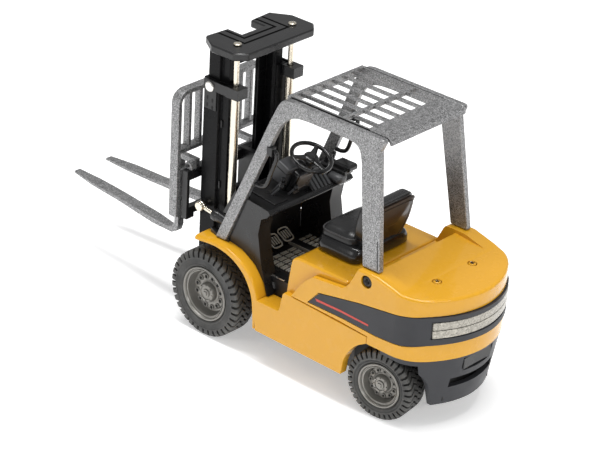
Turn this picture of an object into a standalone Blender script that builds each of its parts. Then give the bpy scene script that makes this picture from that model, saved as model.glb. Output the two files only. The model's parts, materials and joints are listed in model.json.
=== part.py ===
"""Toy counterbalance forklift truck, built as separate named pieces.

Lengths below are millimetres. x runs to the truck's left, y to its rear and z up. While a piece is
being built, y is measured from the front axle; place() moves everything so that the whole truck is
centred on the origin, and turns millimetres into metres.
"""

import math

import bmesh
import bpy
from mathutils import Matrix, Vector

GAP = 0.3  # air left between two pieces that touch
Y_SHIFT = -11.75  # front axle to the middle of the truck

# Wheels and axles
FRONT_R, FRONT_Z, FRONT_IN, FRONT_OUT = 18.1, 18.1, 17.9, 28.9
REAR_R, REAR_Z, REAR_IN, REAR_OUT = 14.2, 14.2, 15.2, 26.7
REAR_Y = 86.7
KINGPIN_X = 12.0
STEER_REST = math.radians(7.7)  # the rear wheels stand turned by this much
STEER_ARM = 7.5
AXLE_R = 1.5

# Body
BODY_X = 29.0  # half width
PANEL_IN = 25.4
SEAT_BASE_X = 26.6
SEAT_BASE_Z = 51.5
BELT_Z = 31.4  # underside of the counterweight
DECK_Y = 82.0
REAR_Y_END = 115.6
FLOOR_Z = 34.0

# Overhead guard
GUARD_X, GUARD_T = 24.0, 2.6
ROOF_Z, ROOF_FRONT, ROOF_REAR = 112.1, 31.2, 81.6
SLATS = 6

# Mast
MAST_OUT, MAST_WALL = 17.4, 0.8
MAST_FRONT, MAST_REAR = -14.2, -2.4
MAST_TOP, INNER_TOP = 103.6, 117.0
LIFT_X, LIFT_Y, ROD_R = 15.3, 0.3, 1.1
TILT_X = 20.2
TILT_EYE = (-10.9, 50.2)
TILT_BASE = (16.6, 46.2)
CAP_Z = (117.3, 120.5)

# Fork carriage
BAR_Y = (-19.3, -16.4)
FORK_TIP_Y = -93.2
BACKREST_X, BACKREST_TOP = 24.5, 96.2

# Steering wheel
WHEEL_CENTRE = Vector((0.0, 27.0, 78.2))
WHEEL_R, WHEEL_TILT = 8.0, math.radians(22)


# ---------------------------------------------------------------- mesh tools


def finish_mesh(name, bm):
    bmesh.ops.recalc_face_normals(bm, faces=bm.faces)
    mesh = bpy.data.meshes.new(name)
    bm.to_mesh(mesh)
    bm.free()
    obj = bpy.data.objects.new(name, mesh)
    bpy.context.scene.collection.objects.link(obj)
    return obj


def loft(rings, name="piece"):
    """A solid through rings that all have the same number of points; both ends are capped."""
    bm = bmesh.new()
    rows = [[bm.verts.new(p) for p in ring] for ring in rings]
    count = len(rows[0])
    for low, high in zip(rows, rows[1:]):
        for i in range(count):
            j = (i + 1) % count
            bm.faces.new((low[i], low[j], high[j], high[i]))
    bm.faces.new(rows[0])
    bm.faces.new(rows[-1])
    return finish_mesh(name, bm)


def prism(axis, outline, low, high):
    """Extrudes a flat outline along x, y or z. The outline's pairs are the other two axes in order."""
    def point(a, b, c):
        return {"x": (c, a, b), "y": (a, c, b), "z": (a, b, c)}[axis]

    return loft([[point(a, b, c) for a, b in outline] for c in (low, high)])


def box(x, y, z):
    return prism("z", [(x[0], y[0]), (x[1], y[0]), (x[1], y[1]), (x[0], y[1])], z[0], z[1])


def lathe(profile, segments, axis="x", centre=(0, 0, 0)):
    """Turns a closed profile of (distance along the axis, radius) pairs."""
    bm = bmesh.new()
    columns = []
    for step in range(segments):
        angle = 2 * math.pi * step / segments
        column = []
        for i, (along, radius) in enumerate(profile):
            if radius == 0 and step:
                column.append(columns[0][i])
                continue
            a, b = radius * math.cos(angle), radius * math.sin(angle)
            point = {"x": (along, a, b), "y": (b, along, a), "z": (a, b, along)}[axis]
            column.append(bm.verts.new(Vector(point) + Vector(centre)))
        columns.append(column)
    for k in range(segments):
        here, there = columns[k], columns[(k + 1) % segments]
        for i in range(len(profile)):
            j = (i + 1) % len(profile)
            corners = []
            for vert in (here[i], here[j], there[j], there[i]):
                if vert not in corners:
                    corners.append(vert)
            if len(corners) > 2:
                bm.faces.new(corners)
    return finish_mesh("turned", bm)


def rod(axis, centre, radius, low, high, segments=16):
    """A round bar along an axis; centre holds the other two coordinates in order."""
    a, b = centre
    at = {"x": (0, a, b), "y": (a, 0, b), "z": (a, b, 0)}[axis]
    return lathe([(low, 0), (low, radius), (high, radius), (high, 0)], segments, axis, at)


def bar_between(start, end, radius, segments=16):
    """A round bar from one point to another."""
    start, end = Vector(start), Vector(end)
    obj = rod("z", (0, 0), radius, 0, (end - start).length, segments)
    turn = Vector((0, 0, 1)).rotation_difference(end - start)
    obj.data.transform(Matrix.Translation(start) @ turn.to_matrix().to_4x4())
    return obj


def bake(obj):
    """Replaces the object's mesh with the result of its modifiers."""
    graph = bpy.context.evaluated_depsgraph_get()
    mesh = bpy.data.meshes.new_from_object(obj.evaluated_get(graph))
    obj.modifiers.clear()
    obj.data = mesh
    return obj


def combine(obj, others, operation):
    for other in others:
        modifier = obj.modifiers.new("combine", "BOOLEAN")
        modifier.object, modifier.operation, modifier.solver = other, operation, "EXACT"
        bake(obj)
        bpy.data.objects.remove(other)
    return obj


def union(obj, *others):
    return combine(obj, others, "UNION")


def cut(obj, *others):
    return combine(obj, others, "DIFFERENCE")


def common(obj, *others):
    return combine(obj, others, "INTERSECT")


def bevel(obj, width, segments=2, angle=35):
    modifier = obj.modifiers.new("bevel", "BEVEL")
    modifier.width, modifier.segments = width, segments
    modifier.limit_method, modifier.angle_limit = "ANGLE", math.radians(angle)
    return bake(obj)


def twin(obj):
    """A copy mirrored to the other side of the truck."""
    copy = bpy.data.objects.new("twin", obj.data.copy())
    bpy.context.scene.collection.objects.link(copy)
    copy.data.transform(Matrix.Scale(-1, 4, (1, 0, 0)))
    copy.data.flip_normals()
    return copy


def both(obj, x, y, z):
    """Joins a box and its mirrored twin to a piece."""
    side = box(x, y, z)
    return union(obj, twin(side), side)


def moved(obj, matrix):
    obj.data.transform(matrix)
    return obj


def around_z(angle, x, y):
    """Rotation by an angle about a vertical line."""
    at = Matrix.Translation((x, y, 0))
    return at @ Matrix.Rotation(angle, 4, "Z") @ at.inverted()


MATERIALS = {}


def material(name, colour, roughness, metallic=0.0):
    made = bpy.data.materials.new(name)
    made.use_nodes = True
    shader = made.node_tree.nodes["Principled BSDF"]
    shader.inputs["Base Color"].default_value = (*colour, 1)
    shader.inputs["Roughness"].default_value = roughness
    shader.inputs["Metallic"].default_value = metallic
    made.diffuse_color = (*colour, 1)
    MATERIALS[name] = made


def place(obj, name, look, origin=(0, 0, 0), smooth=0):
    """Names a finished piece, moves it to its place in metres and puts its origin on its joint."""
    obj.name = obj.data.name = name
    shift = Vector((0, Y_SHIFT, 0))
    centre = Vector(origin) + (shift if any(origin) else Vector())
    obj.data.transform(Matrix.Scale(0.001, 4) @ Matrix.Translation(shift - centre))
    obj.location = centre * 0.001
    obj.data.materials.clear()
    obj.data.materials.append(MATERIALS[look])
    if smooth:
        obj.data.shade_smooth()
        obj.data.set_sharp_from_angle(angle=math.radians(smooth))
    return obj


def pair(obj, name, look, origin=(0, 0, 0), smooth=0):
    """Places a left piece and its mirrored right twin."""
    other = twin(obj)
    place(obj, name + "_left", look, origin, smooth)
    place(other, name + "_right", look, (-origin[0], origin[1], origin[2]), smooth)


# ---------------------------------------------------------------- body


def curve(points, steps=3):
    """A smooth line through points, with the given number of pieces between each two."""
    line = []
    for i in range(len(points) - 1):
        a, b, c, d = (Vector(points[min(max(k, 0), len(points) - 1)]) for k in range(i - 1, i + 3))
        for step in range(steps):
            t = step / steps
            line.append(tuple(0.5 * (2 * b + (c - a) * t + (2 * a - 5 * b + 4 * c - d) * t * t
                                     + (3 * b - a - 3 * c + d) * t ** 3)))
    return line + [tuple(points[-1])]


def rear_outline(inset=0.0, front=60.0, bulge=0.0):
    """Plan of the truck's tail: straight sides, rounded corners, a slightly bowed back."""
    half = [(29.0, 95.5), (28.6, 98.5), (26.8, 103.2), (22.4, 107.8), (15.0, 112.2), (7.6, 114.7),
            (0.0, REAR_Y_END), (-7.6, 114.7)]
    half = [((x - inset * x / 29.0 * (1.0 if x > 20 else 1.1)), y - inset * (y - 92) / 24
             + bulge * (y - 96) / 20) for x, y in half]
    left = [(x, y) for x, y in curve(half) if x > 0.01]
    end = (0, half[-2][1])
    side = BODY_X - inset
    return [(-side, front), (side, front)] + left + [end] + [(-x, y) for x, y in reversed(left)]


def body_shell():
    """Lower body: side panels with the front wings, the entry steps and the box under the seat."""
    panel = [(27.9, 13.6), (70.6, 13.2), (71.4, 18.9), (73.3, 24.4), (77.0, 29.2), (83.4, 32.2),
             (83.4, 34.2), (45.2, 35.8), (41.0, 35.8), (39.8, 27.0), (26.4, 27.0), (26.9, 19.4)]
    wing = [(27.0, 14.0), (26.3, 20.0), (25.6, 27.0), (24.4, 31.0), (20.3, 36.0), (14.0, 39.8),
            (5.2, 41.3), (-5.2, 40.4), (-5.6, 42.4), (5.4, 43.4), (15.0, 41.9), (22.0, 37.9),
            (26.8, 32.0), (28.6, 27.0), (30.0, 26.0), (30.0, 14.0)]
    seat_box = [(39.8, 24.6), (42.4, 49.8), (44.1, SEAT_BASE_Z), (71.0, SEAT_BASE_Z), (71.0, 24.6)]
    shell = prism("x", seat_box, -SEAT_BASE_X, SEAT_BASE_X)
    cut(shell, box((-22.5, 22.5), (43.5, 68.0), (20, 47.5)))
    cut(shell, box((-9.4, 9.4), (38.0, 75.0), (20, 31.8)))
    side = bevel(prism("x", panel, PANEL_IN, BODY_X), 0.6, 1)
    arch = bevel(prism("x", wing, 20.6, BODY_X - 0.05), 0.5, 1)
    step = box((20.3, BODY_X - 0.1), (28.0, 41.0), (24.6, 27.0))
    union(side, arch, step)
    union(shell, twin(side), side)
    place(shell, "body_shell", "orange_paint")


def band_profile(grow=0.0):
    """Side view of the dark band that runs from the seat box round the tail."""
    g = grow
    return [(54.4 - 2 * g, 37.1 - g), (59.4 - g, 42.7 + g), (78.9, 46.4 + g), (94.7, 48.5 + g),
            (107.0, 50.0 + g), (120.0, 50.0 + g), (120.0, 38.8 - g), (107.0, 38.4 - g),
            (99.7, 37.1 - g), (87.8, 36.5 - g), (71.4, 37.2 - g)]


def rear_cowl():
    """Counterweight: cheeks beside the seat box, pillar feet, the rear deck and the tail."""
    side = [(55, 12), (125, 12), (125, 56.4), (104, 57.0), (98, 57.4), (86.3, 60.4), (76.9, 60.4),
            (72.7, 52.0), (70.5, 49.6), (55, 48.3)]
    tail = prism("z", rear_outline(), 10, 62)
    common(tail, prism("x", side, -30, 30))
    bevel(tail, 2.2, 3, 60)
    foot = [(71.3, 35.4), (83.7, 34.6), (83.7, BELT_Z), (130, BELT_Z), (130, 70), (71.3, 70)]
    common(tail, prism("x", foot, -40, 40))
    cheek = [(45.6, 36.2), (51.8, 44.9), (55.7, 48.2), (70.5, 49.6), (72.5, 51.0), (72.5, 35.4)]
    cheek = prism("x", cheek, SEAT_BASE_X + GAP, BODY_X)
    union(tail, twin(cheek), cheek)
    cut(tail, box((-22, 22), (70, DECK_Y), (52.3, 70)))
    deck = prism("x", [(DECK_Y - 1, 59.2), (103.5, 57.15), (103.5, 64), (DECK_Y - 1, 64)], -22, 22)
    cut(tail, deck)
    groove = prism("z", rear_outline(-3, 50), 30, 60)
    cut(groove, prism("z", rear_outline(1.3, 40), 20, 70))
    common(groove, prism("x", band_profile(GAP), -40, 40))
    cut(tail, groove)
    for x in (-10.35, 10.35):
        cut(tail, rod("z", (x, 99.7), 1.9, 55.9, 64))
    for x in ((26.6, 31), (-31, -26.6)):
        cut(tail, rod("x", (81.6, 56.6), 2.6, x[0], x[1]))
    for x in (-15, 15):
        cut(tail, box((x - 3, x + 3), (75.0, 76.8), (49, 54)))
    place(tail, "rear_cowl", "orange_paint")


def trim_band():
    band = prism("z", rear_outline(0, 50, 1.1), 30, 60)
    cut(band, prism("z", rear_outline(1.0, 40), 20, 70))
    common(band, prism("x", band_profile(), -40, 40))
    recess = prism("z", rear_outline(-4, 60), 41.0, 48.2)
    cut(recess, prism("z", rear_outline(0.1, 60), 30, 70))
    common(recess, box((-22.6, 22.6), (100, 130), (30, 60)))
    cut(band, recess)
    place(band, "trim_band", "charcoal_plastic")
    for name, low, high in (("lamp_strip_upper", 44.8, 47.8), ("lamp_strip_lower", 41.4, 44.5)):
        strip = prism("z", rear_outline(-0.7, 60), low, high)
        cut(strip, prism("z", rear_outline(-0.2, 50), 30, 70))
        common(strip, box((-22.0, 22.0), (100, 130), (30, 60)))
        place(strip, name, "lamp_grey")


def rear_bumper():
    """Dark skirt under the counterweight, narrow at the bottom so that the wheels can turn."""
    top, low = BELT_Z - GAP, 10.2
    bumper = loft([[(x, y, z) for x, y in rear_outline(inset, 90.0)]
                   for inset, z in ((3.9, low), (0.4, top))])
    hollow = loft([[(x, y, z) for x, y in rear_outline(inset, 80.0)]
                   for inset, z in ((6.3, low - 1), (2.8, top - 1.9))])
    cut(bumper, hollow)
    flank = [(29.5, 30.6), (28.5, 29.8), (25.0, 26.6), (22.0, 23.6), (20.0, 20.4), (16.8, 9.0),
             (40.0, 9.0), (40.0, 30.6)]
    cutter = prism("y", flank, 80, 130)
    cut(bumper, twin(cutter), cutter)
    cut(bumper, box((-35, 35), (80, 104.9), (5, 29.1)))
    cut(bumper, box((-12.4, 12.4), (100, 130), (17.7, 21.7)))
    cut(bumper, box((-8.6, 8.6), (113.0, 130), (24.2, 30.2)))
    place(bumper, "rear_bumper", "charcoal_plastic")


def chassis():
    """Underframe: a front block on the axle, a deep middle and a narrow tail between the rear wheels."""
    frame = box((-18.5, 18.5), (20.0, 70.0), (10.6, 24.3))
    front = [(-2.7, 14.8), (4, 12.0), (21, 10.6), (21, 24.3), (0, 22.6), (-2.7, 21.6)]
    front = prism("x", front, -4.6, 4.6)
    union(frame, front)
    spine = [(69.0, 18.5), (80.0, 21.0), (108.0, 21.0), (107.0, 27.5), (88.0, 28.6), (69.0, 31.0)]
    union(frame, prism("x", spine, -9.0, 9.0))
    union(frame, box((-4.6, 4.6), (4.0, 69.5), (24.0, 29.5)))
    bevel(frame, 0.5, 1)
    cut(frame, rod("x", (0, FRONT_Z), AXLE_R + GAP, -6, 6))
    place(frame, "chassis_frame", "satin_black")
    place(rod("x", (0, FRONT_Z), AXLE_R, -24.4, 24.4), "front_axle", "bright_steel", smooth=40)


def screw_head(radius, depth):
    """Domed cross-recessed head on the z axis, top at z = 0."""
    head = lathe([(-depth, 0), (-depth, radius), (-0.35, radius), (-0.05, radius * 0.7), (0, 0)], 16, "z")
    for size in ((0.3, 1.0), (1.0, 0.3)):
        r = radius * 0.55
        cut(head, box((-r * size[0], r * size[0]), (-r * size[1], r * size[1]), (-0.5, 1)))
    return head


def body_screws():
    deck = moved(screw_head(1.6, 1.3), Matrix.Translation((10.35, 99.7, 57.6)))
    pair(deck, "deck_screw", "orange_paint", smooth=40)
    turn = Matrix.Translation((BODY_X - 0.3, 81.6, 56.6)) @ Matrix.Rotation(math.pi / 2, 4, "Y")
    pair(moved(screw_head(2.3, 1.6), turn), "side_screw", "satin_black", smooth=40)


# ---------------------------------------------------------------- cab


def floor_mat():
    """Floor with a riser at each side and rows of tread pads."""
    floor = box((-19.9, 19.9), (29.4, 39.5), (25.0, FLOOR_Z))
    union(floor, box((-19.9, 19.9), (9.0, 34.0), (31.6, FLOOR_Z)))
    cut(floor, rod("x", (0, FRONT_Z), 19.2, 16.8, 30, 32), rod("x", (0, FRONT_Z), 19.2, -30, -16.8, 32))
    cut(floor, box((-18.8, 18.8), (25, 45), (20, 30.3)))
    for row in range(4):
        for column in range(4):
            x, y = 8.6 - column * 5.2, 19.5 + row * 4.4
            union(floor, box((x - 1.9, x + 1.9), (y - 1.2, y + 1.2), (FLOOR_Z - 0.5, FLOOR_Z + 0.5)))
    place(floor, "floor_mat", "satin_black")


def pedals():
    for name, x, y in (("pedal_inner", 4.6, 14.0), ("pedal_outer", -3.0, 13.0)):
        plate = bevel(box((-2.3, 2.3), (-3.1, 3.1), (0, 0.9)), 0.5, 1)
        for i in range(3):
            union(plate, box((-1.5, 1.5), (-2.0 + 1.6 * i, -1.2 + 1.6 * i), (0.7, 1.2)))
        union(plate, box((-0.6, 0.6), (-4.6, -2.0), (-1.2, 0.5)))
        tilt = Matrix.Translation((x, y, FLOOR_Z + 3.6)) @ Matrix.Rotation(math.radians(-32), 4, "X")
        place(moved(plate, tilt), name, "bright_steel")


def wheel_frame():
    """Places a piece built round z on the steering column, at the middle of the wheel."""
    return Matrix.Translation(WHEEL_CENTRE) @ Matrix.Rotation(-WHEEL_TILT, 4, "X")


def dash_cowl():
    """Bulkhead, dashboard and the covers inside the wings, with pockets for the tilt cylinders."""
    side = [(-1.2, 44.3), (3.5, 55.0), (8.4, 64.2), (12.5, 65.0), (27.6, 63.4), (28.6, 62.2),
            (27.2, 60.4), (24.2, 58.6), (23.0, 52.0), (25.2, 40.0), (28.2, 30.6), (29.6, 27.4),
            (28.9, 27.4), (27.2, 32.3), (22.3, 38.4), (15.1, 42.4), (5.4, 43.9)]
    cover = prism("x", side, 17.2, 24.1)
    pillar = prism("x", [(-20, 43.4), (7.9, 43.4), (26.0, 86.6), (-20, 86.6)], 22.2, 30)
    cut(cover, pillar)
    dash = [(4.2, 32.0), (8.3, 32.0), (8.3, 57.0), (12.0, 60.6), (26.8, 60.4), (28.6, 62.2),
            (27.6, 63.4), (12.5, 65.0), (8.4, 64.2), (4.2, 56.4)]
    dash = prism("x", dash, -17.6, 17.6)
    union(dash, twin(cover), cover)
    pocket = prism("x", [(-8, 42.0), (20.6, 41.6), (20.6, 50.6), (-8, 54.8)], 17.1, 23.1)
    cut(dash, twin(pocket), pocket, box((-20.2, 20.2), (8.7, 45), (27, FLOOR_Z + GAP)))
    column = prism("x", [(9.0, 60.5), (14.6, 71.8), (18.8, 73.6), (21.6, 72.2), (24.6, 63.4), (24.4, 61.5)],
                   -5.0, 4.6)
    union(dash, bevel(column, 0.8, 1))
    post = lathe([(-13.0, 0), (-13.0, 2.2), (-3.2, 1.9), (-3.2, 1.2), (-1.2, 1.2), (-1.2, 0)], 16, "z")
    union(dash, moved(post, wheel_frame()))
    place(dash, "dash_cowl", "satin_black")


def steering_wheel():
    frame = wheel_frame()
    tube, ring = 0.95, []
    for k in range(8):
        angle = 2 * math.pi * k / 8
        ring.append((tube * math.sin(angle), WHEEL_R + tube * math.cos(angle)))
    wheel = lathe(ring, 32, "z")
    hub = [(-2.9, 1.6), (-2.9, 2.4), (-0.4, 3.0), (0.5, 2.6), (0.8, 0), (-0.8, 0), (-0.8, 1.6)]
    hub = lathe(hub, 16, "z")
    union(wheel, hub)
    for angle in (90, 205, 335):
        spoke = prism("y", [(2.0, -0.9), (7.8, -0.55), (7.8, 0.55), (2.0, 0.3)], -1.0, 1.0)
        union(wheel, moved(spoke, Matrix.Rotation(math.radians(angle), 4, "Z")))
    place(moved(wheel, frame), "steering_wheel", "satin_black", WHEEL_CENTRE, smooth=40)


def lever_console():
    """Block on the right of the dashboard with three short levers and an arm pad."""
    block = bevel(box((-22.0, -15.6), (17.5, 30.5), (65.6, 68.4)), 0.8, 1)
    union(block, bevel(box((-22.0, -16.0), (24.0, 32.6), (67.8, 70.6)), 0.8, 1))
    for i in range(3):
        x = -20.6 + i * 1.9
        lever = prism("x", [(19.0, 67.5), (20.6, 67.5), (21.8, 71.6), (20.6, 72.0)], x - 0.45, x + 0.45)
        union(block, lever)
    place(block, "lever_console", "satin_black")


def seat():
    """Moulded tray, soft cushion and back, and the stiff panel behind the back."""
    z = SEAT_BASE_Z + GAP
    foot = [(16.0, 45.0, z), (17.2, 58.0, z), (16.0, 66.3, z)]
    rail = [(13.6, 44.2, 56.6), (13.6, 58.0, 57.4), (13.6, 61.4, 57.4)]
    tray = loft([side + [(-x, y, height) for x, y, height in reversed(side)] for side in (foot, rail)])
    cut(tray, box((-11.2, 11.2), (46.6, 70.0), (54.2, 60.0)))
    place(bevel(tray, 0.5, 1), "seat_tray", "satin_black")
    cushion = loft([[(-x, y0, z), (x, y0, z), (x, y1, z), (-x, y1, z)]
                    for x, y0, y1, z in ((10.6, 47.2, 59.8, 54.6), (10.8, 46.9, 59.9, 57.6),
                                         (12.6, 44.9, 60.1, 57.9), (12.9, 44.3, 60.2, 59.4),
                                         (11.4, 46.0, 59.6, 60.9))])
    place(bevel(cushion, 0.5, 1), "seat_cushion", "seat_vinyl", smooth=50)
    back = [(61.0, 57.9), (60.6, 61.5), (63.6, 72.4), (66.4, 74.6), (67.3, 73.6), (65.9, 60.0), (65.3, 57.9)]
    back = prism("x", back, -12.6, 12.6)
    union(back, prism("x", [(61.8, 54.6), (61.8, 59), (65.2, 59), (65.0, 54.6)], -10.4, 10.4))
    place(bevel(back, 0.9, 2), "seat_back", "seat_vinyl", smooth=50)
    panel = [(-7.0, 53.4), (7.0, 53.4), (12.2, 60.6), (12.6, 69.6), (11.2, 72.8), (-11.2, 72.8),
             (-12.6, 69.6), (-12.2, 60.6)]
    panel = prism("y", panel, 0, 1.5)
    lean = Matrix(((1, 0, 0, 0), (0, 1, 0.098, 60.85), (0, 0, 1, 0), (0, 0, 0, 1)))
    place(bevel(moved(panel, lean), 0.45, 1), "seat_back_panel", "seat_shell")


# ---------------------------------------------------------------- overhead guard


def guard():
    """Two side frames that splay outwards towards the bottom, and the slatted roof between them."""
    rear, front = ROOF_REAR, ROOF_FRONT
    outline = [(2.4, 43.8), (7.6, 43.8), (25.4, 86.2), (31.2, 98.6), (36.0, 104.2), (42.0, 106.4),
               (64.0, 106.4), (69.2, 105.6), (71.2, 102.0), (77.4, 60.8), (85.8, 60.8), (79.3, 107.0),
               (rear, ROOF_Z - 0.3), (rear - 1.6, ROOF_Z), (front + 3.4, ROOF_Z), (front - 0.6, 110.4),
               (26.0, 101.0)]
    frame = prism("x", outline, GUARD_X - GUARD_T, GUARD_X)
    bm = bmesh.new()
    bm.from_mesh(frame.data)
    bmesh.ops.triangulate(bm, faces=bm.faces)
    for vert in bm.verts:
        y, z = vert.co.y, vert.co.z
        lean = 0.03 if y < 40 else 0.066
        vert.co.x += lean * max(0.0, 104.0 - z)
    bm.to_mesh(frame.data)
    bm.free()
    frame.data.update()
    pair(frame, "guard_frame", "silver_paint")
    half = GUARD_X - GUARD_T - GAP
    low, top = 109.2, ROOF_Z
    roof = box((-half, half), (front + 0.4, front + 2.2), (low, top))
    plate = [(70.6, top), (80.0, top), (82.2, top - 0.9), (82.6, top - 2.6), (81.8, top - 2.8),
             (81.2, top - 1.6), (79.6, top - 1.1), (70.6, top - 1.1)]
    union(roof, prism("x", plate, -half, half))
    union(roof, box((-half, half), (57.5, 59.1), (top - 1.35, top - 0.05)))
    both(roof, (half - 1.3, half), (front + 1.0, 72.0), (low, top))
    for i in range(SLATS):
        x = (i - (SLATS - 1) / 2) * 6.05
        union(roof, box((x - 0.5, x + 0.5), (front + 1.0, 72.0), (top - 1.3, top - 0.02)))
    place(roof, "roof_grille", "silver_paint")


def grab_handles():
    """D-shaped grip on each front pillar."""
    arch = [(19.7, 71.2), (24.4, 72.4), (26.4, 75.0), (30.2, 84.6), (30.0, 88.0), (28.4, 89.8),
            (27.4, 89.8), (26.7, 88.2), (28.2, 87.2), (28.5, 85.0), (24.9, 75.8), (23.4, 74.0), (20.4, 73.0)]
    x = GUARD_X - 1.7
    handle = bevel(prism("x", arch, x, x + 1.7), 0.3, 1)
    pair(handle, "grab_handle", "satin_black")


# ---------------------------------------------------------------- wheels


def tyre(radius, bead, x0, x1):
    """Tyre with rounded shoulders and bulged sides."""
    w = x1 - x0
    return lathe([(x0 + 0.08 * w, bead), (x0, bead + 2.2), (x0, radius - 2.4), (x0 + 0.7, radius - 0.8),
                  (x0 + 2.0, radius), (x1 - 2.0, radius), (x1 - 0.7, radius - 0.8), (x1, radius - 2.4),
                  (x1, bead + 2.2), (x1 - 0.08 * w, bead)], 28)


def rim(bead, x0, x1, bore, seat):
    """Deep-dished rim with a raised hub; bore is the radius of its axle hole and seat its depth."""
    r = bead - GAP
    return lathe([(x0 + 1.0, r), (x1 - 0.7, r), (x1 - 0.7, r - 0.9), (x1 - 2.6, r - 1.5),
                  (x1 - 3.6, r - 2.4), (x1 - 3.6, 4.2), (x1 - 1.9, 3.8), (x1 - 1.5, 2.9), (x1 - 1.5, 0),
                  (seat, 0), (seat, bore), (x0 + 1.0, bore), (x0 + 1.0, bore + 1.6),
                  (x1 - 5.2, bore + 1.6), (x1 - 5.2, r - 2.4), (x0 + 1.0, r - 1.4)], 20)


def wheels():
    for name, radius, bead, x0, x1, bore, y, z in (
            ("front", FRONT_R, 11.1, FRONT_IN, FRONT_OUT, AXLE_R + GAP, 0.0, FRONT_Z),
            ("rear", REAR_R, 9.0, REAR_IN, REAR_OUT, 1.5, REAR_Y, REAR_Z)):
        for side, sign in (("left", 1), ("right", -1)):
            centre = Vector(((x0 + x1) / 2 * sign, y, z))
            turn = Matrix.Identity(4)
            if name == "rear":
                turn = around_z(STEER_REST, KINGPIN_X * sign, y)
            for part, look in (("tyre", "rubber"), ("rim", "gunmetal")):
                if part == "tyre":
                    obj = tyre(radius, bead, x0, x1)
                else:
                    obj = rim(bead, x0, x1, bore, x1 - 4.2 if name == "front" else x1 - 4.0)
                moved(obj, Matrix.Translation((0, y, z)))
                if sign < 0:
                    obj = mirrored(obj)
                moved(obj, turn)
                place(obj, f"{name}_{part}_{side}", look, turn @ centre, smooth=35)


def mirrored(obj):
    copy = twin(obj)
    bpy.data.objects.remove(obj)
    return copy


def rear_axle():
    """Fixed beam with a forked end and kingpin at each side."""
    y, z = REAR_Y, REAR_Z
    beam = box((-9.0, 9.0), (y - 3.0, y + 3.0), (z - 4.6, z + 6.3))
    for low, high in ((z - 4.6, z - 3.2), (z + 3.2, z + 4.6)):
        both(beam, (8.0, KINGPIN_X + 1.8), (y - 1.9, y + 1.9), (low, high))
    for side in (-1, 1):
        union(beam, rod("z", (side * KINGPIN_X, y), 0.9, z - 3.6, z + 3.6, 12))
    place(beam, "rear_axle_beam", "satin_black")


def steering_gear():
    """Stub axles that turn on the kingpins, and the bar that links their arms."""
    y, z = REAR_Y, REAR_Z
    for side, sign in (("left", 1), ("right", -1)):
        knuckle = box((KINGPIN_X - 1.9, KINGPIN_X + 1.9), (y - 1.9, y + 1.9), (z - 2.9, z + 2.9))
        union(knuckle, rod("x", (y, z), 1.2, KINGPIN_X + 1.5, 21.6, 12))
        arm = box((KINGPIN_X - 1.8, KINGPIN_X + 0.6), (y + 1.0, y + STEER_ARM + 1.4), (z - 2.9, z - 1.3))
        union(knuckle, arm, rod("z", (KINGPIN_X - 0.6, y + STEER_ARM), 0.7, z - 1.6, z + 1.2, 12))
        cut(knuckle, rod("z", (KINGPIN_X, y), 0.9 + GAP, z - 4, z + 4, 12))
        if sign < 0:
            knuckle = mirrored(knuckle)
        moved(knuckle, around_z(STEER_REST, KINGPIN_X * sign, y))
        place(knuckle, f"knuckle_{side}", "bright_steel", (KINGPIN_X * sign, y, z))
    shift = -STEER_ARM * math.sin(STEER_REST)
    link = box((-13.2, 13.2), (y + STEER_ARM - 2.2, y + STEER_ARM + 1.9), (z - 0.9, z + 0.9))
    for sign in (-1, 1):
        x = (KINGPIN_X - 0.6) * sign
        cut(link, box((x - 1.1, x + 1.1), (y + STEER_ARM - 1.6, y + STEER_ARM + 1.25), (z - 2, z + 2)))
    place(moved(link, Matrix.Translation((shift, 0, 0))), "steering_link", "bright_steel",
          (shift, y + STEER_ARM, z))


# ---------------------------------------------------------------- mast


PIVOT = (0.0, 0.0, FRONT_Z)


def channel(out, front, middle, back, wall, low, high):
    """Mast rail: a channel open towards the middle, its web stepped inwards behind."""
    flange, step = 11.2, out - 1.4
    outline = [(out, front), (out, middle), (step, middle + 0.4), (step, back), (flange, back),
               (flange, back - wall), (step - wall, back - wall), (step - wall, middle - 0.3),
               (out - wall, middle - 0.7), (out - wall, front + wall), (flange, front + wall),
               (flange, front)]
    return prism("z", outline, low, high)


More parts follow.
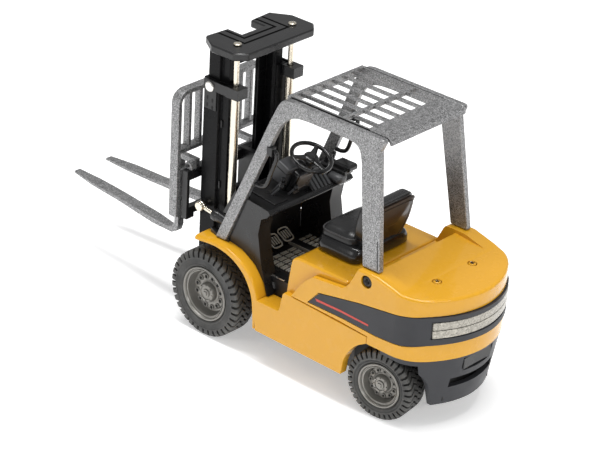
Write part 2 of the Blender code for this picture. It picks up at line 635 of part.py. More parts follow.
def outer_mast():
    rail = channel(MAST_OUT, MAST_FRONT, -6.6, MAST_REAR, MAST_WALL, 12.5, MAST_TOP)
    frame = union(twin(rail), rail)
    for low, high in ((26.0, 33.0), (38.0, 42.0)):
        union(frame, box((-11.6, 11.6), (MAST_REAR - MAST_WALL, MAST_REAR + 0.9), (low, high)))
    ear = prism("x", [(-3.3, 32.0), (-1.6, 32.0), (2.6, 21.0), (2.8, 17.0), (1.2, 15.0), (-2.0, 15.0),
                      (-3.3, 17.0)], 5.0, 9.4)
    union(frame, twin(ear), ear)
    cut(frame, rod("x", (0, FRONT_Z), AXLE_R + GAP, -10, 10))
    place(frame, "outer_mast", "mast_black", PIVOT)

    barrel = lathe([(24.0, 0), (24.0, 1.75), (98.8, 1.75), (98.8, ROD_R + GAP), (37.0, ROD_R + GAP),
                    (37.0, 0)], 16, "z", (LIFT_X, LIFT_Y, 0))
    pair(barrel, "lift_barrel", "bright_steel", PIVOT, smooth=40)

    clamp = box((13.0, 18.6), (-1.9, 4.4), (99.3, 103.7))
    union(clamp, box((MAST_OUT + GAP, 18.5), (-13.4, -1.0), (99.5, 103.5)))
    bevel(clamp, 0.4, 1)
    cut(clamp, rod("z", (LIFT_X, LIFT_Y), ROD_R + GAP, 90, 110))
    disc = lathe([(18.2, 0), (18.2, 2.0), (19.0, 2.0), (19.3, 1.6), (19.3, 0)], 16, "x", (0, -10.0, 101.0))
    pair(union(clamp, disc), "rod_clamp", "satin_black", PIVOT)

    y, z = TILT_EYE
    pin = lathe([(MAST_OUT + GAP, 0), (MAST_OUT + GAP, 0.9), (21.3, 0.9), (21.3, 2.0), (21.8, 2.0),
                 (22.1, 1.6), (22.1, 0)], 16, "x", (0, y, z))
    pair(pin, "tilt_pin", "bright_steel", PIVOT, smooth=40)


def tilt_cylinders():
    """Rod pinned to the mast, sliding in a barrel that swings on the chassis."""
    eye = Vector((TILT_X, *TILT_EYE))
    base = Vector((TILT_X, *TILT_BASE))
    along = (base - eye).normalized()
    ring = lathe([(TILT_X - 0.8, 1.2), (TILT_X - 0.8, 2.1), (TILT_X + 0.8, 2.1), (TILT_X + 0.8, 1.2)], 16,
                 "x", (0, eye.y, eye.z))
    union(ring, bar_between(eye + along * 1.7, eye + along * 23.0, 0.9, 12))
    pair(ring, "tilt_rod", "bright_steel", tuple(eye), smooth=40)
    length = (base - eye).length
    mouth = 6.8 - length
    barrel = lathe([(mouth, 1.3), (mouth, 2.0), (mouth + 0.6, 2.45), (mouth + 2.6, 2.45),
                    (mouth + 2.9, 2.2), (0.6, 2.2), (1.8, 1.4), (1.8, 0), (-2.2, 0), (-2.2, 1.3)], 16, "z")
    turn = Vector((0, 0, 1)).rotation_difference(along)
    moved(barrel, Matrix.Translation(base) @ turn.to_matrix().to_4x4())
    pair(barrel, "tilt_barrel", "satin_black", tuple(base), smooth=40)


def inner_mast():
    """Rising section with its cap and the two lift rods."""
    g = MAST_WALL + GAP
    rail = channel(MAST_OUT - g, MAST_FRONT + g, -7.5, MAST_REAR - g, 0.9, 16.0, INNER_TOP)
    frame = union(twin(rail), rail)
    back = MAST_REAR - g
    union(frame, box((-11.6, 11.6), (back - 0.9, back), (17.0, 24.0)))
    union(frame, box((-11.6, 11.6), (back - 0.9, back), (110.0, INNER_TOP)))
    rise = (0, (MAST_FRONT + MAST_REAR) / 2, 60.0)
    place(frame, "inner_mast", "mast_black", rise)

    half = [(6.3, -6.0), (6.3, -13.4), (17.6, -14.2), (22.6, -6.4), (22.6, 5.0), (18.2, 9.0)]
    outline = half + [(-x, y) for x, y in reversed(half)]
    cap = prism("z", outline, *CAP_Z)
    bevel(cap, 0.5, 1)
    for offset in (0.0, 3.6):
        a, y0, w = 8.6 + offset, -2.6 + offset, 0.55
        ring = box((-a - w, a + w), (-13.0, y0 + w), (CAP_Z[1] - 0.8, 130))
        cut(ring, box((w - a, a - w), (-20.0, y0 - w), (100, 140)))
        cut(cap, ring)
    for sign in (-1, 1):
        cut(cap, rod("z", (LIFT_X * sign, LIFT_Y), ROD_R + GAP, 110, 125))
    place(cap, "mast_cap", "satin_black", rise)

    top = CAP_Z[1]
    piston = lathe([(50.0, 0), (50.0, ROD_R), (top + 0.3, ROD_R), (top + 0.3, 1.7), (top + 0.8, 1.5),
                    (top + 1.1, 0)], 16, "z", (LIFT_X, LIFT_Y, 0))
    pair(piston, "lift_rod", "bright_steel", rise, smooth=40)


def carriage():
    """Two cross bars on guide plates that run inside the rising section, with the load backrest."""
    y0, y1 = BAR_Y
    frame = box((-22.8, 22.8), (y0, y1), (59.4, 63.6))
    union(frame, box((-22.8, 22.8), (y0, y1), (44.5, 47.5)))
    both(frame, (21.3, 22.8), (y0, y1), (45, 60))
    both(frame, (18.4, 22.8), (y0, y1), (42.6, 45.5))
    both(frame, (8.2, 10.6), (y0 + 1.0, -8.8), (42.6, 64.2))
    for z in (46.0, 60.8):
        both(frame, (10.0, 14.6), (-11.6, -8.8), (z - 2.4, z + 2.4))
    centre = (0.0, -18.0, 53.0)
    place(frame, "carriage", "satin_black", centre)

    x, top, low, r = BACKREST_X, BACKREST_TOP, 42.4, 5.0
    front, back = -24.6, -20.4
    t = 1.9
    rest = prism("y", [(-x, low), (x, low), (x, top - r), (x - 1.4, top - 1.4), (x - r, top),
                       (r - x, top), (1.4 - x, top - 1.4), (-x, top - r)], front, back)
    i = x - t
    cut(rest, prism("y", [(-i, 30), (i, 30), (i, top - r - 0.4), (i - 1.1, top - t - 1.3),
                          (i - r + t, top - t), (r - t - i, top - t), (1.1 - i, top - t - 1.3),
                          (-i, top - r - 0.4)], front - 1, back + 1))
    union(rest, box((-i - 0.5, i + 0.5), (front, back), (69.7, 71.5)))
    for px in (-17.3, -11.4, -5.4, 5.4, 11.4, 17.3):
        union(rest, box((px - 0.75, px + 0.75), (front + 0.4, back - 0.6), (70.5, top - 1)))
    union(rest, box((-i - 0.5, i + 0.5), (back - 1.4, back), (60.4, 62.6)))
    place(rest, "load_backrest", "silver_paint", centre)


def forks():
    """L-shaped fork: tapered blade, rounded heel, upright with a hook over each bar."""
    side = [(FORK_TIP_Y, 31.2), (FORK_TIP_Y, 32.0), (-32.4, 31.7), (-30.0, 32.6), (-28.8, 35.0),
            (-28.7, 66.4), (-26.7, 66.4), (-26.7, 34.0), (-27.6, 31.2), (-30.2, 29.7), (-40.0, 29.5)]
    fork = prism("x", side, 0, 30)
    plan = [(7.4, -100), (10.6, -100), (10.6, FORK_TIP_Y), (12.8, -80.0), (13.6, -66.0), (16.2, -42.0),
            (16.9, -20.0), (13.9, -20.0), (13.0, -32.0), (11.0, -42.0), (8.4, -66.0), (7.4, -80.0)]
    common(fork, prism("z", plan, 20, 80))
    union(fork, box((14.2, 16.6), (-28, -18.2), (63.9, 66.2)))
    pair(fork, "fork", "silver_paint", (14.6, -26.0, 50.0))


# ---------------------------------------------------------------- assembly


def build():
    for obj in list(bpy.data.objects):
        bpy.data.objects.remove(obj)
    material("orange_paint", (0.82, 0.40, 0.03), 0.22)
    material("silver_paint", (0.42, 0.43, 0.44), 0.42, 0.6)
    material("satin_black", (0.025, 0.026, 0.028), 0.45)
    material("mast_black", (0.02, 0.02, 0.023), 0.35, 0.3)
    material("charcoal_plastic", (0.055, 0.056, 0.062), 0.5)
    material("lamp_grey", (0.36, 0.35, 0.32), 0.5)
    material("bright_steel", (0.78, 0.74, 0.66), 0.22, 1.0)
    material("gunmetal", (0.20, 0.19, 0.18), 0.38, 0.9)
    material("rubber", (0.03, 0.03, 0.03), 0.75)
    material("seat_vinyl", (0.035, 0.035, 0.037), 0.4)
    material("seat_shell", (0.05, 0.03, 0.02), 0.55)
    body_shell()
    rear_cowl()
    trim_band()
    rear_bumper()
    chassis()
    body_screws()
    floor_mat()
    pedals()
    dash_cowl()
    steering_wheel()
    lever_console()
    seat()
    guard()
    grab_handles()
    wheels()
    rear_axle()
    steering_gear()
    outer_mast()
    tilt_cylinders()
    inner_mast()
    carriage()
    forks()


build()
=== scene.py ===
"""Looks of a toy forklift truck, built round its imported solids.

Pieces are built in millimetres. x runs to the truck's left, y to its rear, measured from the front
axle, and z up. add() turns them into metres in the frame's place.
"""

import json
import math

import bmesh
import bpy
from mathutils import Matrix, Vector, noise


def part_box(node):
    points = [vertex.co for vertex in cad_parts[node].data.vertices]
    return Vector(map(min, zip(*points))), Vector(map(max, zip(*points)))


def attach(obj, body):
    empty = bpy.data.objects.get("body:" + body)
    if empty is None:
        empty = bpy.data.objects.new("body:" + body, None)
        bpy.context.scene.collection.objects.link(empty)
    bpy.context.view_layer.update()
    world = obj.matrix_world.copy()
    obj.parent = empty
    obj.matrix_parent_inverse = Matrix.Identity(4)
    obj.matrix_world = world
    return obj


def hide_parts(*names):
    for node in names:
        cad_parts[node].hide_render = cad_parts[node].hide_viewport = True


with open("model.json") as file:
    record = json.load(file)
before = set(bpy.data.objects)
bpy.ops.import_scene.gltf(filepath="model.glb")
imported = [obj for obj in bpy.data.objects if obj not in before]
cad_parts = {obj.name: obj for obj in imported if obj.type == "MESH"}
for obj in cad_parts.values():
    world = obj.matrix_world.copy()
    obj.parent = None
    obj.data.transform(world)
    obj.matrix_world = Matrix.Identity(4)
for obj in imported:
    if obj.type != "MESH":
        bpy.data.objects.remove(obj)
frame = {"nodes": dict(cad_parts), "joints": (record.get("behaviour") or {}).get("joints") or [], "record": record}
RECORD = frame["record"]
JOINTS = {joint["name"]: joint for joint in frame["joints"]}
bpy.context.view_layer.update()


MM = 0.001
# The mast tilts about the front axle, so its joint gives the axle's place.
AXLE = Vector((0, JOINTS["mast_tilt"]["pos_m"][1] / MM, 0))
TO_FRAME = Matrix.Scale(MM, 4) @ Matrix.Translation(AXLE)


def from_axle(place):
    """A place in the frame, in millimetres from the front axle."""
    return Vector(place) / MM - AXLE


def node_box(node):
    """Lowest and highest corner of a CAD node, in millimetres from the front axle."""
    return [from_axle(corner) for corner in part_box(node)]


def turned(degrees, axis):
    return Matrix.Rotation(math.radians(degrees), 4, axis)


def round_angles(count):
    """Evenly spaced angles once round, from 0."""
    return [2 * math.pi * k / count for k in range(count)]


def linked(name, data):
    """A new object in the scene."""
    obj = bpy.data.objects.new(name, data)
    bpy.context.scene.collection.objects.link(obj)
    return obj


# ---------------------------------------------------------------- materials

LOOKS = {}


class Shader:
    """A Principled material put together from a few procedural layers."""

    def __init__(self, name, slot, colour, roughness, metallic=0.0, coat=0.0):
        self.material = bpy.data.materials.new(name)
        self.material.use_nodes = True
        self.tree = self.material.node_tree
        self.shader = self.tree.nodes["Principled BSDF"]
        self.coords = self.tree.nodes.new("ShaderNodeTexCoord").outputs["Object"]
        self.set("Base Color", (*colour, 1))
        self.set("Roughness", roughness)
        self.set("Metallic", metallic)
        self.set("Coat Weight", coat)
        self.set("Coat Roughness", 0.04)
        self.last_bump = None
        LOOKS[name] = (self.material, slot)

    def set(self, socket, value):
        self.shader.inputs[socket].default_value = value

    def node(self, kind, **settings):
        made = self.tree.nodes.new(kind)
        for key, value in settings.items():
            setattr(made, key, value)
        return made

    def link(self, a, b):
        self.tree.links.new(a, b)

    def noise(self, scale, detail, stretch=None, rough=0.55):
        made = self.node("ShaderNodeTexNoise")
        made.inputs["Scale"].default_value = scale
        made.inputs["Detail"].default_value = detail
        made.inputs["Roughness"].default_value = rough
        if stretch:
            mapping = self.node("ShaderNodeMapping")
            mapping.inputs["Scale"].default_value = stretch
            self.link(self.coords, mapping.inputs["Vector"])
            self.link(mapping.outputs["Vector"], made.inputs["Vector"])
        else:
            self.link(self.coords, made.inputs["Vector"])
        return made.outputs["Fac"]

    def cells(self, scale):
        """One random grey for each small cell."""
        made = self.node("ShaderNodeTexVoronoi")
        made.inputs["Scale"].default_value = scale
        self.link(self.coords, made.inputs["Vector"])
        grey = self.node("ShaderNodeSeparateColor")
        self.link(made.outputs["Color"], grey.inputs["Color"])
        return grey.outputs["Red"]

    def ramp(self, source, stops):
        """Maps a value to colours; stops are (place, colour or grey)."""
        made = self.node("ShaderNodeValToRGB")
        while len(made.color_ramp.elements) < len(stops):
            made.color_ramp.elements.new(0.5)
        for element, (place, value) in zip(made.color_ramp.elements, stops):
            element.position = place
            element.color = (*value, 1) if isinstance(value, tuple) else (value, value, value, 1)
        self.link(source, made.inputs["Fac"])
        return made.outputs["Color"]

    def mix(self, a, b, amount):
        """Blends two colours; each input is a value or another node's output."""
        made = self.node("ShaderNodeMix", data_type="RGBA")
        factor, first, second = made.inputs[0], made.inputs[6], made.inputs[7]
        for value, socket in ((amount, factor), (a, first), (b, second)):
            if isinstance(value, (int, float)):
                socket.default_value = value
            elif isinstance(value, tuple):
                socket.default_value = (*value, 1)
            else:
                self.link(value, socket)
        return made.outputs[2]

    def colour(self, source):
        self.link(source, self.shader.inputs["Base Color"])

    def rough(self, source, low, high):
        self.link(self.ramp(source, [(0.3, low), (0.7, high)]), self.shader.inputs["Roughness"])

    def bump(self, source, strength, depth):
        made = self.node("ShaderNodeBump")
        made.inputs["Strength"].default_value = strength
        made.inputs["Distance"].default_value = depth
        if self.last_bump:
            self.link(self.last_bump, made.inputs["Normal"])
        self.link(source, made.inputs["Height"])
        self.last_bump = made.outputs["Normal"]
        self.link(self.last_bump, self.shader.inputs["Normal"])

    def edge_wear(self, source, lighter, low, high):
        """Lightens convex edges a little, as rubbed rubber does."""
        made = self.node("ShaderNodeNewGeometry")
        worn = self.ramp(made.outputs["Pointiness"], [(low, 0.0), (high, 0.8)])
        return self.mix(source, lighter, worn)


def shade(colour, factor):
    """The colour, lighter or darker."""
    return tuple(min(1.0, c * factor) for c in colour)


def make_paint(name, slot, colour, roughness, coat):
    """Clear-coated paint with faint patches and a slight orange-peel surface."""
    s = Shader(name, slot, colour, roughness, 0.0, coat)
    patches = s.noise(28, 3)
    s.colour(s.mix(shade(colour, 0.93), shade(colour, 1.06), patches))
    s.rough(s.noise(160, 5), roughness - 0.05, roughness + 0.07)
    s.bump(s.noise(650, 2), 0.05, 0.00005)
    s.bump(s.noise(70, 1), 0.05, 0.0002)


def make_fleck(name, slot, dark, light, roughness):
    """Grey paint with visible metal flakes of two sizes."""
    s = Shader(name, slot, light, roughness, 0.75)
    flakes = s.cells(2700)
    fine = s.cells(4600)
    large = s.ramp(flakes, [(0.0, dark), (0.35, shade(light, 0.62)), (0.75, light), (1.0, shade(light, 1.7))])
    small = s.ramp(fine, [(0.2, dark), (0.9, shade(light, 1.5))])
    s.colour(s.mix(large, small, 0.42))
    s.rough(flakes, roughness - 0.1, roughness + 0.16)
    s.bump(flakes, 0.22, 0.00006)


def make_plastic(name, slot, colour, roughness, grain=900, strength=0.2):
    """Moulded plastic with a little dust and a fine grain."""
    s = Shader(name, slot, colour, roughness)
    dust = s.noise(45, 6)
    s.colour(s.mix(shade(colour, 0.8), shade(colour, 1.35), dust))
    s.rough(s.noise(120, 5), roughness - 0.08, roughness + 0.12)
    s.bump(s.noise(grain, 3), strength, 0.00008)


def make_metal(name, slot, colour, roughness, stretch):
    """Bare metal; a stretch that is small along one axis gives drawn lines along it."""
    s = Shader(name, slot, colour, roughness, 1.0)
    lines = s.noise(500, 3, stretch)
    s.colour(s.mix(shade(colour, 0.93), shade(colour, 1.05), lines))
    s.rough(lines, roughness - 0.04, roughness + 0.06)
    s.bump(lines, 0.04, 0.00003)


def make_rubber():
    """Tyre rubber with dust in patches and paler edges."""
    s = Shader("rubber", "rubber", (0.030, 0.030, 0.029), 0.62)
    dust = s.ramp(s.noise(70, 6, rough=0.65), [(0.4, 0.0), (0.72, 1.0)])
    tint = s.mix((0.026, 0.026, 0.026), (0.075, 0.073, 0.068), dust)
    s.colour(s.edge_wear(tint, (0.13, 0.128, 0.12), 0.51, 0.62))
    s.rough(s.noise(220, 4), 0.5, 0.74)
    s.bump(s.noise(1500, 3), 0.3, 0.00008)


def make_lamp():
    """Warm grey strip with fine prismatic speckle."""
    s = Shader("lamp_grey", "lamp_grey", (0.40, 0.375, 0.32), 0.35, 0.25, 0.4)
    cells = s.cells(1500)
    fine = s.noise(900, 3)
    speckle = s.ramp(cells, [(0.0, (0.22, 0.205, 0.175)), (0.6, (0.42, 0.395, 0.34)),
                             (1.0, (0.62, 0.59, 0.52))])
    s.colour(s.mix(speckle, (0.36, 0.34, 0.29), fine))
    s.rough(cells, 0.25, 0.5)
    s.bump(cells, 0.35, 0.0001)


def make_vinyl(name, slot, colour, roughness):
    """Grained seat cover with worn patches."""
    s = Shader(name, slot, colour, roughness)
    grain = s.node("ShaderNodeTexVoronoi", feature="DISTANCE_TO_EDGE")
    grain.inputs["Scale"].default_value = 1100
    s.link(s.coords, grain.inputs["Vector"])
    wear = s.noise(60, 5)
    s.colour(s.mix(shade(colour, 0.75), shade(colour, 1.5), wear))
    s.rough(wear, roughness - 0.08, roughness + 0.12)
    s.bump(grain.outputs["Distance"], 0.25, 0.00012)
    s.bump(s.noise(120, 3), 0.2, 0.0003)


def tune(look, socket, value):
    """Changes one Principled setting of a finished look."""
    material = LOOKS[look][0]
    material.node_tree.nodes["Principled BSDF"].inputs[socket].default_value = value


def make_materials():
    make_paint("orange_paint", "orange_paint", (0.69, 0.345, 0.017), 0.25, 0.8)
    make_fleck("silver_paint", "silver_paint", (0.06, 0.06, 0.062), (0.35, 0.35, 0.352), 0.4)
    make_plastic("satin_black", "satin_black", (0.010, 0.010, 0.0105), 0.3, 1100, 0.3)
    make_plastic("gloss_black", "satin_black", (0.008, 0.008, 0.0085), 0.16, 700, 0.05)
    make_plastic("mast_black", "mast_black", (0.007, 0.007, 0.0075), 0.24, 800, 0.06)
    make_plastic("cab_grey", "satin_black", (0.045, 0.046, 0.049), 0.36, 1100, 0.2)
    make_plastic("panel_brown", "satin_black", (0.085, 0.072, 0.062), 0.25, 900, 0.1)
    make_plastic("charcoal_plastic", "charcoal_plastic", (0.033, 0.034, 0.038), 0.42, 1100, 0.25)
    # Flat black for dark seams, and as painted shade filling holes, slots, recesses and a pillar corner.
    make_plastic("void_black", "satin_black", (0.004, 0.004, 0.004), 0.7)
    make_lamp()
    make_metal("bright_steel", "bright_steel", (0.80, 0.74, 0.62), 0.2, (1, 1, 0.04))
    make_metal("pale_steel", "bright_steel", (0.86, 0.84, 0.80), 0.26, (1, 1, 1))
    make_plastic("gunmetal", "gunmetal", (0.23, 0.222, 0.205), 0.36, 1400, 0.15)
    # The studio is white all round, so these reflect less than plain dielectrics, as in the photo.
    for look, level in (("orange_paint", 0.1), ("mast_black", 0.1), ("charcoal_plastic", 0.3)):
        tune(look, "Specular IOR Level", level)
    tune("gunmetal", "Metallic", 0.6)
    make_rubber()
    make_vinyl("seat_vinyl", "seat_vinyl", (0.013, 0.013, 0.0135), 0.3)
    make_vinyl("seat_shell", "seat_shell", (0.026, 0.014, 0.007), 0.4)
    make_vinyl("piping", "seat_vinyl", (0.045, 0.045, 0.046), 0.3)
    make_paint("red_line", "charcoal_plastic", (0.55, 0.03, 0.015), 0.35, 0.3)
    make_plastic("mat_ribs", "satin_black", (0.42, 0.41, 0.37), 0.4)


# ---------------------------------------------------------------- mesh tools


def as_piece(bm):
    """The finished mesh as an object that has no name of its own yet."""
    mesh = bpy.data.meshes.new("piece")
    bm.to_mesh(mesh)
    bm.free()
    return linked("piece", mesh)


def finish_mesh(bm):
    bmesh.ops.recalc_face_normals(bm, faces=bm.faces)
    return as_piece(bm)


def loft(rings, closed_path=False):
    """A skin through rings of equal length, capped at both ends or joined end to end."""
    bm = bmesh.new()
    rows = [[bm.verts.new(p) for p in ring] for ring in rings]
    count = len(rows[0])
    following = rows[1:] + ([rows[0]] if closed_path else [])
    for low, high in zip(rows, following):
        for i in range(count):
            j = (i + 1) % count
            bm.faces.new((low[i], low[j], high[j], high[i]))
    if not closed_path:
        bm.faces.new(rows[0])
        bm.faces.new(rows[-1])
    return finish_mesh(bm)


def prism(axis, outline, low, high):
    """An outline drawn out along an axis. It holds the other two coordinates in x, y, z order."""

    def point(a, b, c):
        return {"x": (c, a, b), "y": (a, c, b), "z": (a, b, c)}[axis]

    return loft([[point(a, b, c) for a, b in outline] for c in (low, high)])


def box(x, y, z):
    """A box from its (low, high) along each axis."""
    return prism("z", [(x[0], y[0]), (x[1], y[0]), (x[1], y[1]), (x[0], y[1])], z[0], z[1])


def lathe(profile, segments=48, axis="x", centre=(0, 0, 0)):
    """Turns a closed profile of (distance along the axis, radius) pairs; radius 0 closes on the axis."""
    bm = bmesh.new()
    columns = []
    for angle in round_angles(segments):
        column = []
        for i, (along, radius) in enumerate(profile):
            if radius == 0 and columns:
                column.append(columns[0][i])
                continue
            a, b = radius * math.cos(angle), radius * math.sin(angle)
            point = {"x": (along, a, b), "y": (b, along, a), "z": (a, b, along)}[axis]
            column.append(bm.verts.new(Vector(point) + Vector(centre)))
        columns.append(column)
    for here, there in zip(columns, columns[1:] + columns[:1]):
        for i in range(len(profile)):
            j = (i + 1) % len(profile)
            ring = []
            for vert in (here[i], here[j], there[j], there[i]):
                if vert not in ring:
                    ring.append(vert)
            if len(ring) > 2:
                bm.faces.new(ring)
    return finish_mesh(bm)


def curve(points, steps=4, closed=False):
    """A smooth (Catmull-Rom) line through points."""
    count = len(points)
    line = []
    for i in range(count if closed else count - 1):
        near = [(i + k) % count if closed else min(max(i + k, 0), count - 1) for k in (-1, 0, 1, 2)]
        a, b, c, d = (Vector(points[k]) for k in near)
        for step in range(steps):
            t = step / steps
            line.append(tuple(0.5 * (2 * b + (c - a) * t + (2 * a - 5 * b + 4 * c - d) * t * t
                                     + (3 * b - a - 3 * c + d) * t ** 3)))
    return line if closed else line + [tuple(points[-1])]


def tube(path, radius, sides, closed=False):
    """A round bar along a path."""
    points = [Vector(p) for p in path]
    count = len(points)
    rings, normal = [], None
    for i, point in enumerate(points):
        before = points[i - 1] if closed or i else point
        after = points[(i + 1) % count] if closed or i < count - 1 else point
        along = (after - before).normalized()
        if normal is None:
            normal = along.orthogonal().normalized()
        normal = (normal - along * normal.dot(along)).normalized()
        side = along.cross(normal)
        rings.append([point + radius * (math.cos(a) * normal + math.sin(a) * side)
                      for a in round_angles(sides)])
    return loft(rings, closed)


def moved(obj, matrix):
    """Moves the mesh itself, and keeps its faces outwards if the matrix mirrors."""
    obj.data.transform(matrix)
    if matrix.determinant() < 0:
        obj.data.flip_normals()
    return obj


MIRROR = Matrix.Scale(-1, 4, (1, 0, 0))


def joined(objs):
    """Several overlapping shells as one piece."""
    bm = bmesh.new()
    for obj in objs:
        bm.from_mesh(obj.data)
        bpy.data.objects.remove(obj)
    return as_piece(bm)


def add_bevel(obj, width, segments=2):
    """Rounds edges of more than 30 degrees; width is in millimetres."""
    modifier = obj.modifiers.new("bevel", "BEVEL")
    modifier.width, modifier.segments = width * MM, segments
    modifier.limit_method, modifier.angle_limit = "ANGLE", math.radians(30)
    modifier.harden_normals = True


def add(obj, name, body, look, stands_for=(), bevel=0.0, segments=2, smooth=35):
    """Names a piece, puts it in the frame, and gives it its body and its material."""
    obj.name = obj.data.name = name
    obj.data.transform(TO_FRAME)
    obj.data.shade_smooth()
    obj.data.set_sharp_from_angle(angle=math.radians(smooth))
    material, slot = LOOKS[look]
    obj.data.materials.append(material)
    if bevel:
        add_bevel(obj, bevel, segments)
    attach(obj, body)
    if stands_for:
        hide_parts(*stands_for)


def both(obj, name, body, look, stands_for=(), **settings):
    """Adds a left piece and its mirrored right twin.

    In body and node names, {} becomes the side and {:.1} its first letter.
    """
    twin = moved(linked("twin", obj.data.copy()), MIRROR)
    for piece, side in ((obj, "left"), (twin, "right")):
        nodes = [node.format(side) for node in stands_for]
        add(piece, f"{name}_{side}", body.format(side), look, nodes, **settings)


# ---------------------------------------------------------------- CAD nodes

# Edge rounding in millimetres; a node that isn't here keeps its edges.
NODE_BEVEL = {
    "mast_cap": 0.35, "outer_mast": 0.18, "inner_mast": 0.15, "rod_clamp_left": 0.3, "rod_clamp_right": 0.3,
    "carriage": 0.25, "fork_left": 0.3, "fork_right": 0.3, "roof_grille": 0.2, "rear_bumper": 0.5,
    "trim_band": 0.12, "lamp_strip_upper": 0.25, "lamp_strip_lower": 0.25, "dash_cowl": 0.5,
    "floor_mat": 0.15, "chassis_frame": 0.3, "seat_tray": 0.6, "lever_console": 0.4,
    "rear_axle_beam": 0.2, "knuckle_left": 0.2, "knuckle_right": 0.2, "steering_link": 0.15,
    "rear_cowl": 0.25,
}


def dress_nodes():
    """Gives every CAD node its material and soft edges."""
    slots = {part["node"]: part["material_slot"] for part in RECORD["subparts"]}
    for name, obj in frame["nodes"].items():
        if "custom_normal" in obj.data.attributes:
            obj.data.attributes.remove(obj.data.attributes["custom_normal"])
        obj.data.materials.clear()
        obj.data.materials.append(LOOKS[slots[name]][0])
        obj.data.shade_smooth()
        obj.modifiers.new("weld", "WELD").merge_threshold = 1e-6
        if name in NODE_BEVEL:
            add_bevel(obj, NODE_BEVEL[name])
        else:
            obj.data.set_sharp_from_angle(angle=math.radians(35))
        obj.modifiers.new("weighted", "WEIGHTED_NORMAL").keep_sharp = True


# ---------------------------------------------------------------- wheels


def tyre_mesh(radius, bead, half, lugs):
    """Tyre with chunky shoulder lugs and slanted tread blocks, cut as steps in a turned grid."""
    wall = (bead + radius) / 2
    # (distance in from the outer face, radius, groove depth sideways, groove depth inwards, slant)
    rows = [
        (1.0, bead - 0.1, 0, 0, 0), (0.35, bead + 0.5, 0, 0, 0), (0.10, bead + 0.9, 0, 0, 0),
        (0.28, bead + 1.25, 0, 0, 0), (0.22, wall, 0, 0, 0), (0.12, radius - 3.3, 0, 0, 0),
        (0.0, radius - 3.0, 0, 0, 0), (0.0, radius - 2.75, 0.05, 0.1, 0), (0.02, radius - 2.6, 0.55, 0.3, 0),
        (0.10, radius - 1.5, 0.95, 0.8, 0), (0.45, radius - 0.5, 0.75, 1.2, 0.0),
        (1.1, radius - 0.05, 0.2, 1.35, 0.05), (2.2, radius, 0, 1.35, 0.35), (3.4, radius, 0, 1.35, 0.75),
        (4.4, radius, 0, 1.1, 0.45), (half - 0.3, radius, 0, 1.1, 0.2),
    ]
    mirrored = [(2 * half - d, r, -side, deep, 1.0 - slant) for d, r, side, deep, slant in reversed(rows)]
    rows += mirrored
    # (place within one pitch, share of the groove's depth)
    steps = [(0.0, 0.0), (0.05, 1.0), (0.31, 1.0), (0.36, 0.0), (0.6, 0.0), (0.84, 0.0)]
    pitch = 2 * math.pi / lugs
    bm = bmesh.new()
    columns = []
    for k in range(lugs):
        for place, groove in steps:
            column = []
            for d, r, side, deep, slant in rows:
                angle = (k + place + slant) * pitch
                x = half - d - side * groove
                out = r - deep * groove
                column.append(bm.verts.new((x, out * math.cos(angle), out * math.sin(angle))))
            columns.append(column)
    for here, there in zip(columns, columns[1:] + columns[:1]):
        for i in range(len(rows)):
            j = (i + 1) % len(rows)
            bm.faces.new((here[i], here[j], there[j], there[i]))
    return finish_mesh(bm)


def rim_meshes(r, x1, hub, ring, hole, count):
    """Dished rim with its raised nuts, and black discs painted as the shade inside its holes.

    r is the lip's radius, x1 its outer face, ring the radius that the holes lie on.
    """
    dish = x1 - 4.6
    profile = [
        (x1 - 8.5, r - 1.5), (x1 - 8.5, r - 0.4), (x1 - 1.4, r - 0.35), (x1 - 0.9, r - 0.15),
        (x1 - 0.45, r - 0.1), (x1 - 0.15, r - 0.35), (x1 - 0.15, r - 0.75), (x1 - 0.5, r - 1.05),
        (x1 - 1.2, r - 1.2), (x1 - 1.25, r - 1.5), (x1 - 0.95, r - 1.7), (x1 - 1.1, r - 2.0),
        (x1 - 2.6, r - 2.25), (dish + 0.6, r - 2.5), (dish + 0.1, r - 2.9), (dish, ring + 1.35),
        (dish + 0.9, ring + 1.0), (dish + 1.0, ring + 0.7), (dish + 1.0, ring - 0.9), (dish + 0.7, hub + 0.6),
        (dish + 0.9, hub + 0.15), (x1 - 2.0, hub), (x1 - 1.5, hub - 0.35), (x1 - 1.4, hub - 1.0),
        (x1 - 1.75, hub - 1.2), (x1 - 1.75, 1.8), (x1 - 1.2, 1.6), (x1 - 1.1, 0), (x1 - 7.0, 0),
        (x1 - 7.0, r - 3.6), (x1 - 7.4, r - 1.9),
    ]
    metal = [lathe(profile, 64)]
    dark = []
    for angle in round_angles(count):
        angle += math.pi / count
        y, z = ring * math.cos(angle), ring * math.sin(angle)
        boss = [(dish + 0.9, hole), (dish + 0.9, hole + 0.42), (dish + 1.45, hole + 0.36),
                (dish + 1.6, hole + 0.15), (dish + 1.5, hole)]
        metal.append(lathe(boss, 14, "x", (0, y, z)))
        # Black disc in each hole: painted shade, standing in for the dark depth of the hole.
        dark.append(lathe([(dish, 0), (dish, hole + 0.1), (dish + 1.1, hole + 0.1), (dish + 1.1, 0)],
                          14, "x", (0, y, z)))
    nuts = hub - 0.62
    for angle in round_angles(8):
        y, z = nuts * math.cos(angle), nuts * math.sin(angle)
        metal.append(lathe([(x1 - 1.6, 0), (x1 - 1.6, 0.34), (x1 - 1.1, 0.26), (x1 - 1.05, 0)],
                           8, "x", (0, y, z)))
    metal.append(box((x1 - 1.3, x1 - 0.8), (-0.75, 0.75), (-0.75, 0.75)))
    return joined(metal), joined(dark)


